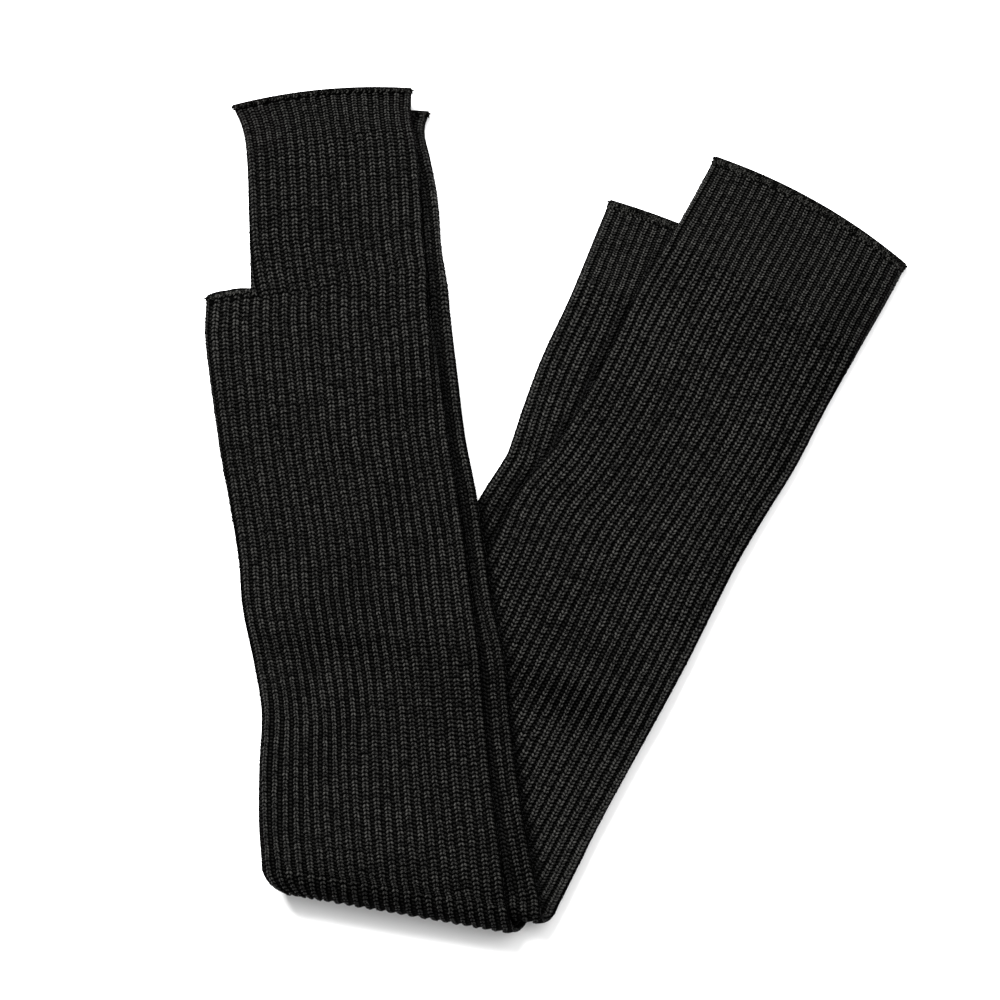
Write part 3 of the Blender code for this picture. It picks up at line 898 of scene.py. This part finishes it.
# A V of two plump legs with blunt ends. Each keeps every point's place on its yarn for the shading.
def stitchTree(name, segments):
    sizes = ("Leg Length", "Leg Width", "Leg Height", "Leg Offset", "Leg Sink", "Spread", "Tilt")
    inputs = [(label, "Float") for label in sizes + ("Jitter", "Stray")]
    tree, given, result = startTree(name, inputs + [("Seed", "Int"), ("Material", "Material")])
    given = given.outputs
    ball = {"Segments": segments, "Rings": 3, "Radius": mm / 2}
    leg = addNode(tree, "GeometryNodeMeshUVSphere", **ball).outputs["Mesh"]
    wedge = 360 / segments
    toCrest = math.radians(270 - round(270 / wedge) * wedge)  # turns an edge of the leg upwards
    crest = addNode(tree, "GeometryNodeTransform", leg, Rotation=(0, 0, toCrest)).outputs[0]
    place = addNode(tree, "GeometryNodeInputPosition").outputs[0]
    onYarn = scaled(tree, place, 2 / mm)  # from -1 to 1 along each axis of the leg
    kind = {"data_type": "FLOAT_VECTOR", "domain": "POINT", "Name": "yarn"}
    keep = addNode(tree, "GeometryNodeStoreNamedAttribute", crest, **kind, Value=onYarn)
    toEnd = maths(tree, "ABSOLUTE", splitAxes(tree, onYarn)["Z"])
    toEnd = maths(tree, "POWER", toEnd, bluntEnds["power"])
    short = maths(tree, "MULTIPLY_ADD", toEnd, -bluntEnds["cut"], 1.0)
    squash = vector(tree, 1.0, 1.0, short)
    blunt = addNode(tree, "ShaderNodeVectorMath", place, squash, operation="MULTIPLY").outputs[0]
    shape = addNode(tree, "GeometryNodeSetPosition", keep.outputs[0], Position=blunt).outputs[0]
    size = vector(tree, *[given["Leg " + side] for side in ("Width", "Height", "Length")])
    pitch = maths(tree, "ADD", maths(tree, "RADIANS", given["Tilt"]), -math.pi / 2)
    spread = maths(tree, "RADIANS", given["Spread"])
    sink = maths(tree, "MULTIPLY", given["Leg Sink"], -mm)
    join = addNode(tree, "GeometryNodeJoinGeometry")
    for side in (-1, 1):
        turned = vector(tree, pitch, 0.0, maths(tree, "MULTIPLY", spread, float(side)))
        offset = maths(tree, "MULTIPLY", given["Leg Offset"], side * mm)
        moves = {"Translation": vector(tree, offset, 0.0, sink), "Rotation": turned, "Scale": size}
        move = addNode(tree, "GeometryNodeTransform", shape, **moves)
        plug(tree, join.inputs[0], move.outputs[0])
    scatter(tree, given, join.outputs[0], result)
    return tree


def growPiece(name, tree, values, points, attributes, material):
    mesh = bpy.data.meshes.new(name + "Points")
    mesh.from_pydata((np.asarray(points) * mm).tolist(), [], [])
    for label, numbers in attributes.items():
        flat = np.asarray(numbers, np.float32)
        kind, field = ("FLOAT_VECTOR", "vector") if flat.ndim == 2 else ("FLOAT", "value")
        mesh.attributes.new(label, kind, "POINT").data.foreach_set(field, flat.ravel())
    piece = bpy.data.objects.new(name, mesh)
    bpy.context.scene.collection.objects.link(piece)
    modifier = piece.modifiers.new("Grow", "NODES")
    modifier.node_group = tree
    for item in tree.interface.items_tree:
        if item.in_out == "INPUT" and item.name in values:
            modifier[item.identifier] = values[item.name]
        elif item.in_out == "INPUT" and item.name == "Material":
            modifier[item.identifier] = material
    depsgraph = bpy.context.evaluated_depsgraph_get()
    finished = bpy.data.meshes.new_from_object(
        piece.evaluated_get(depsgraph), preserve_all_data_layers=True, depsgraph=depsgraph
    )
    piece.modifiers.clear()
    piece.data = finished
    finished.name = name
    finished.shade_smooth()
    bpy.data.meshes.remove(mesh)
    print(name, len(points), "made,", len(finished.polygons), "faces")
    return piece


# How the stitches are laid on the cloth. Widths and heights are shares of a plain stitch's, and
# shades move the yarn's tone; the edge and crevice shades are painted shade.
stitchFit = {
    "depth": 0.34,  # under the cloth's outer face
    "fromArm": 3.4,  # from the arm's opening to the first course
    "fromHand": 1.9,  # and from the last one to the hand's
    "pastThumb": 2.4,  # courses that the bound-off thumb edge takes
    "insideFold": (27, 43),  # ribs between these lie inside the fold, out of sight
    "margin": 3.0,  # how far stitches go on under another layer
    "foldMargin": 2.0,
    "lean": 0.35,  # cloth that leans less than this is seen from both sides
    "stepAside": 0.2,  # of a rib, to read the way across
    "stepOn": 0.7,  # to read the way along
    "ribPitch": 3.72,  # a rib that takes a stitch of full width
    "pitchSpan": (0.85, 1.1),
    "level": (0, 0.6, 0.96, 1),  # how level the cloth lies, and the width of a stitch there
    "levelWidths": (0.6, 0.62, 0.76, 1),
    "edgeHeight": 0.55,  # on upright cloth
    "tightSpan": (0.7, 0.95),  # courses from fully tight to plain
    "tightWidth": 0.84,
    "tightHeight": 0.86,
    "edgeSpan": (0.3, 0.95),  # from upright cloth to level
    "edgeSink": 0.22,
    "shade": -0.81,
    "cloudShade": 0.02,
    "clouds": ((13, 19), (11, 23)),  # their sizes along and across
    "unlike": 0.1,  # from one stitch to the next
    "tightShade": 0.07,
    # painted shade on upright stitches round a tube's edges
    "paintedEdgeShade": -0.45,
    # painted shade beside the edge of a higher layer
    "paintedCreviceShade": -0.5,
}


def unit(vectors):
    return vectors / np.maximum(np.linalg.norm(vectors, axis=-1, keepdims=True), 1e-9)


# Where the stitches of a stretch sit, which way each points, and how wide its rib is there
def stitchFrames(pointsAt, stations, ribs, lift):
    aside, on = stitchFit["stepAside"], stitchFit["stepOn"]
    here = pointsAt(stations, ribs, lift)
    beside = pointsAt(stations, ribs + aside, lift) - pointsAt(stations, ribs - aside, lift)
    ahead = pointsAt(stations + on, ribs, lift) - pointsAt(stations - on, ribs, lift)
    outWay = unit(np.cross(beside, ahead))
    pitch = np.linalg.norm(beside, axis=-1, keepdims=True) / (2 * aside)
    return [part.reshape(-1, part.shape[-1]) for part in (here, outWay, unit(ahead), pitch)]


# A stitch shows where no other layer covers its side by more than a margin
def inTheOpen(points, outWay, layer, margin=stitchFit["margin"]):
    above, below = np.zeros(len(points), bool), np.zeros(len(points), bool)
    for other, outline in enumerate(covered):
        hidden = distanceOutside(outline, points[:, 0], points[:, 1]) < -margin
        if other > layer:
            above |= hidden
        elif other < layer:
            below |= hidden
    lean, up = stitchFit["lean"], outWay[:, 2]
    return ((up > -lean) & ~above) | ((up < lean) & ~below)


# How deep in the crevice beside a higher layer's edge points lie, from 0 to 1, for the painted
# shade there
def paintedShadeDepth(points, layer):
    depth = np.zeros(len(points))
    for above in range(layer + 1, len(covered)):
        reach = knit["crevice"] * (above - layer)
        outside = distanceOutside(covered[above], points[:, 0], points[:, 1])
        depth = np.maximum(depth, 1 - smoothStep(outside / reach))
    return depth


# Yarn is a little lighter or darker from stitch to stitch, and in soft clouds over the cloth
def yarnTone(points, seed, unlike):
    random = np.random.default_rng(seed)
    x, y = points[:, 0], points[:, 1]
    cloud = 0
    for (near, far), (a, b) in zip(stitchFit["clouds"], ((x, y), (y, x))):
        cloud = cloud + np.sin(a / near + 2 * np.sin(b / far))
    shade = stitchFit["shade"] + stitchFit["cloudShade"] * cloud
    return shade + random.normal(0, unlike, len(x))


fineStitches = stitchTree("knitStitch", 5)
plainStitches = stitchTree("knitStitchPlain", 3)  # for the underside
boundStitches = stitchTree("boundStitch", 4)


def stitchPieces(warmer):
    fit, courses = stitchFit, warmer["courses"]
    thumb, foldStart = warmer["thumb"], warmer["armEnd"] + 1
    foldEnd, lastTube = warmer["forearmStart"] - 1, thumb - knit["seam"]
    lastHand = thumb + warmer["handLength"] - fit["fromHand"]
    tube, hand, overThumb = (
        partial(pointsOf, warmer) for pointsOf in (tubePoints, handPoints, thumbPoints)
    )
    allRibs, turned = np.arange(knit["ribs"]), knit["thumbRibs"]
    foldRibs = allRibs[(allRibs <= fit["insideFold"][0]) | (allRibs >= fit["insideFold"][1])]
    armCourses = courses[(courses > fit["fromArm"]) & (courses < foldStart)]
    foldCourses = courses[(courses >= foldStart) & (courses <= foldEnd)]
    forearmCourses = courses[(courses > foldEnd) & (courses < lastTube)]
    thumbCourses = courses[(courses >= lastTube) & (courses < thumb + fit["pastThumb"])]
    handCourses = courses[(courses >= lastTube) & (courses < lastHand)] - thumb
    armLayer, forearmLayer = warmer["armLayer"], warmer["forearmLayer"]
    groups = (
        ("Arm", tube, armCourses, allRibs, armLayer),
        ("Fold", tube, foldCourses, foldRibs, None),
        ("Forearm", tube, forearmCourses, allRibs, forearmLayer),
        ("Thumb", overThumb, thumbCourses, np.arange(1 - turned, turned), forearmLayer),
        ("Hand", hand, handCourses, np.arange(turned, knit["ribs"] - turned), forearmLayer),
    )
    pieces = []
    for part, pointsAt, stations, ribs, layer in groups:
        points, outWay, alongWay, pitch = stitchFrames(pointsAt, stations, ribs, -fit["depth"])
        if layer is None:
            shown = inTheOpen(points, outWay, armLayer, fit["foldMargin"])
            shown |= inTheOpen(points, outWay, forearmLayer, fit["foldMargin"])
        else:
            shown = inTheOpen(points, outWay, layer)
        course = courseSize(stations + (thumb if part == "Hand" else 0), warmer)
        course = np.repeat(course, len(ribs)) / knit["course"]
        level = np.abs(outWay[:, 2])
        width = np.interp(level, fit["level"], fit["levelWidths"])
        width *= np.clip(pitch[:, 0] / fit["ribPitch"], *fit["pitchSpan"])
        width *= np.interp(course, fit["tightSpan"], (fit["tightWidth"], 1))
        height = np.interp(course, fit["tightSpan"], (fit["tightHeight"], 1))
        height *= fit["edgeHeight"] + (1 - fit["edgeHeight"]) * level
        size = np.stack([width, course, height], axis=1)
        edgeOn = np.interp(level, fit["edgeSpan"], (1, 0))
        points = points - fit["edgeSink"] * edgeOn[:, None] * outWay
        faceUp = outWay[:, 2] > 0
        shade = fit["tightShade"] * np.interp(course, fit["tightSpan"], (1, 0))
        # painted shade on stitches that stand upright round a tube's edges
        shade += fit["paintedEdgeShade"] * edgeOn
        # painted shade in the crevice beside the edge of a higher layer
        if layer is not None:
            shade += fit["paintedCreviceShade"] * paintedShadeDepth(points, layer) * faceUp
        for side, chosen, tree in (
            ("Top", shown & faceUp, fineStitches),
            ("Under", shown & ~faceUp, plainStitches),
        ):
            if not chosen.any():
                continue
            tone = yarnTone(points[chosen], len(part) + len(side), fit["unlike"])
            attributes = {
                "outWay": outWay[chosen],
                "alongWay": alongWay[chosen],
                "pieceSize": size[chosen],
                "tone": tone + shade[chosen],
            }
            label = f"{warmer['name']}{part}Stitches{side}"
            pieces.append(
                growPiece(label, tree, stitchLook, points[chosen], attributes, charcoalYarn)
            )
    return pieces


# Bound-off edges: the rib flattens into a soft lip, closed round the wall. Each row of the profile
# has the distance in from the opening, the depth under the outer face, and how much of the ridge is
# left. Each row of knots has its distance in, depth, how far it faces the opening, and its painted
# shade, darkest in the rows at the rim.
lipRows = ((0.65, -1.0, 1.8, -0.35), (0.95, -0.52, 0.5, -0.12))
edgeLook = {
    "profile": (
        (3.4, -1.35, 0.3),
        (2.6, -0.62, 0.9),
        (1.6, -0.5, 0.6),
        (0.8, -0.48, 0.35),
        (0.25, -0.6, 0.2),
        (0.0, -0.95, 0.1),
        (0.3, -1.4, 0.0),
        (1.2, -1.7, 0.0),
        (3.4, -1.8, 0.0),
    ),
    "knots": {
        "ArmEdge": lipRows + ((1.45, -0.38, 0, -0.05), (2.15, -0.35, 0, 0), (2.85, -0.34, 0, 0)),
        "HandEdge": lipRows + ((1.4, -0.38, 0, -0.05),),
        "ThumbEdge": lipRows + ((1.35, -0.4, 0, -0.05),),
    },
    "reach": {"ArmEdge": 1.0, "HandEdge": 0.8, "ThumbEdge": 1.05},  # stretches the profile
    "lipStep": 0.25,  # of a rib, from point to point
    "knotStep": 0.5,  # of a rib, from knot to knot
    "thumbEnd": 0.1,  # of a rib, left free at each end of the thumb's lip
    "thumbPoints": 41,
    "unlike": 0.18,  # from knot to knot
    "steps": ((-0.3, 0, 0), (0, 0.2, 0), (0, 0, 0.2)),  # to the opening, round it, and out
}


def edgeLip(name, pointsAt, ribs, closed, reach):
    rings = []
    for place, depth, ridge in edgeLook["profile"]:
        lift = depth - knit["ridge"] * ridge * (0.5 - 0.5 * np.cos(2 * math.pi * ribs))
        rings.append(pointsAt(place * reach, ribs, np.maximum(lift, -knit["wall"])))
    points = np.stack(rings)
    index = np.arange(points.shape[0] * points.shape[1]).reshape(points.shape[:2])
    faces = []
    for lower, upper in zip(index, np.roll(index, -1, axis=0)):
        band = facesBetween(lower, upper)
        faces += (band if closed else band[:-1]).tolist()
    if not closed:
        faces += [index[:, 0].tolist(), index[::-1, -1].tolist()]
    lip = makeMesh(name, points.reshape(-1, 3), faces, shadedLipYarn)
    work = bmesh.new()
    work.from_mesh(lip.data)
    bmesh.ops.recalc_face_normals(work, faces=work.faces)
    work.to_mesh(lip.data)
    work.free()
    return lip


# The way across a spot, by a small step from the opening, round it, or out of the cloth
def wayAcross(pointsAt, place, knots, depth, step):
    ahead = pointsAt(place + step[0], knots + step[1], depth + step[2])
    return ahead - pointsAt(place - step[0], knots - step[1], depth - step[2])


def edgePieces(warmer):
    def arm(place, ribs, lift):
        return tubePoints(warmer, np.array([place]), ribs, lift)[0]

    def hand(place, ribs, lift):
        return handPoints(warmer, np.array([warmer["handLength"] - place]), ribs, lift)[0]

    def overThumb(place, ribs, lift):
        stations = warmer["thumb"] + knit["edgeDepth"] + knit["seam"] - place
        return thumbPoints(warmer, np.array([stations]), ribs, lift)[0]

    step, steps, turned = edgeLook["lipStep"], edgeLook["steps"], knit["thumbRibs"]
    allRound = np.arange(0, knit["ribs"], step)
    handRound = np.arange(turned, knit["ribs"] - turned, step)
    free = edgeLook["thumbEnd"]
    overArch = np.linspace(free - turned, turned - free, edgeLook["thumbPoints"])
    openings = (
        ("ArmEdge", arm, allRound, True, warmer["armLayer"]),
        ("HandEdge", hand, handRound, True, warmer["forearmLayer"]),
        ("ThumbEdge", overThumb, overArch, False, warmer["forearmLayer"]),
    )
    pieces = []
    for label, pointsAt, ribs, closed, layer in openings:
        name = warmer["name"] + label
        lip = edgeLip(name, pointsAt, ribs, closed, edgeLook["reach"][label])
        spots, outs, alongs, shades = [], [], [], []
        for row, (place, lift, facing, shade) in enumerate(edgeLook["knots"][label]):
            stagger = edgeLook["knotStep"] / 2 * (row % 2)
            knots = np.arange(ribs[0] + stagger, ribs[-1], edgeLook["knotStep"])
            spot = (place, knots, np.full(len(knots), lift))
            toLip, along, out = [unit(wayAcross(pointsAt, *spot, way)) for way in steps]
            spots.append(pointsAt(*spot))
            outs.append(unit(out + toLip * facing))
            alongs.append(along)
            shades.append(np.full(len(knots), float(shade)))
        spots, outs, alongs, shades = map(np.concatenate, (spots, outs, alongs, shades))
        shown = inTheOpen(spots, outs, layer)
        tone = yarnTone(spots[shown], len(spots), edgeLook["unlike"])
        attributes = {
            "outWay": outs[shown],
            "alongWay": alongs[shown],
            "pieceSize": np.ones((shown.sum(), 3)),
            "tone": tone + shades[shown],
        }
        spots, knotsName = spots[shown], name + "Knots"
        knots = growPiece(knotsName, boundStitches, chainLook, spots, attributes, boundYarn)
        pieces.append((label, lip, knots))
    return pieces


# What each piece stands for in the imported model, whose node is hidden for it
shellNodes = ("arm", "fold", "forearm", "hand")
edgeNodes = {"ArmEdge": "arm_edge", "HandEdge": "hand_edge", "ThumbEdge": "thumb_edge"}
for warmer in warmers:
    name = warmer["name"]
    shell = shells[name]
    stitches = stitchPieces(warmer)
    edges = edgePieces(warmer)
    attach(shell, "root")
    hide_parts(*[f"{node}_{name}" for node in shellNodes])
    for piece in stitches:
        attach(piece, "root")
    for label, lip, chain in edges:
        for piece in (lip, chain):
            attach(piece, "root")
        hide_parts(f"{edgeNodes[label]}_{name}")
    rest = stitches + [piece for row in edges for piece in row[1:]]
    print(name, "warmer declared")


# A pale floor, soft studio light and a camera straight above
studio = {
    "cameraAt": (-0.0211, 0.004, 3.6),
    "frameWidth": 0.380,
    "framePlane": 0.009,  # the height at which the frame is that wide
    "sensor": 36.0,
    "floorReach": 6.0,
    "floorAt": -0.0002,
    "floorTone": 0.9,
    "world": 0.6,
    "lights": {  # place, size, power
        "key": ((-0.55, 1.15, 1.25), 0.9, 138.0),
        "fill": ((0.6, 0.5, 1.5), 1.2, 20.0),
    },
}


def makeStudio():
    scene, reach = bpy.context.scene, studio["floorReach"]
    floorMesh = bpy.data.meshes.new("floor")
    corners = [(-reach, -reach, 0), (reach, -reach, 0), (reach, reach, 0), (-reach, reach, 0)]
    floorMesh.from_pydata(corners, [], [(0, 1, 2, 3)])
    floor = bpy.data.objects.new("floor", floorMesh)
    scene.collection.objects.link(floor)
    floor.location.z = studio["floorAt"]
    paper = bpy.data.materials.new("palePaper")
    paper.use_nodes = True
    sockets = paper.node_tree.nodes["Principled BSDF"].inputs
    sockets["Base Color"].default_value = (*[studio["floorTone"]] * 3, 1)
    sockets["Roughness"].default_value = 1.0
    sockets["Specular IOR Level"].default_value = 0.0
    floorMesh.materials.append(paper)
    scene.world = bpy.data.worlds.new("studio")
    scene.world.use_nodes = True
    sockets = scene.world.node_tree.nodes["Background"].inputs
    sockets["Color"].default_value = (1, 1, 1, 1)
    sockets["Strength"].default_value = studio["world"]
    for label, (place, size, power) in studio["lights"].items():
        lamp = bpy.data.lights.new(label, "AREA")
        lamp.size = size
        lamp.energy = power
        light = bpy.data.objects.new(label, lamp)
        light.location = place
        light.rotation_euler = (-Vector(place)).to_track_quat("-Z", "Y").to_euler()
        scene.collection.objects.link(light)
    lens = bpy.data.cameras.new("camera")
    camera = bpy.data.objects.new("camera", lens)
    camera.location = studio["cameraAt"]
    distance = studio["cameraAt"][2] - studio["framePlane"]
    lens.sensor_width = studio["sensor"]
    lens.lens = studio["sensor"] * distance / studio["frameWidth"]
    lens.clip_end = 20
    scene.collection.objects.link(camera)
    scene.camera = camera
    scene.view_settings.view_transform = "Standard"


makeStudio()
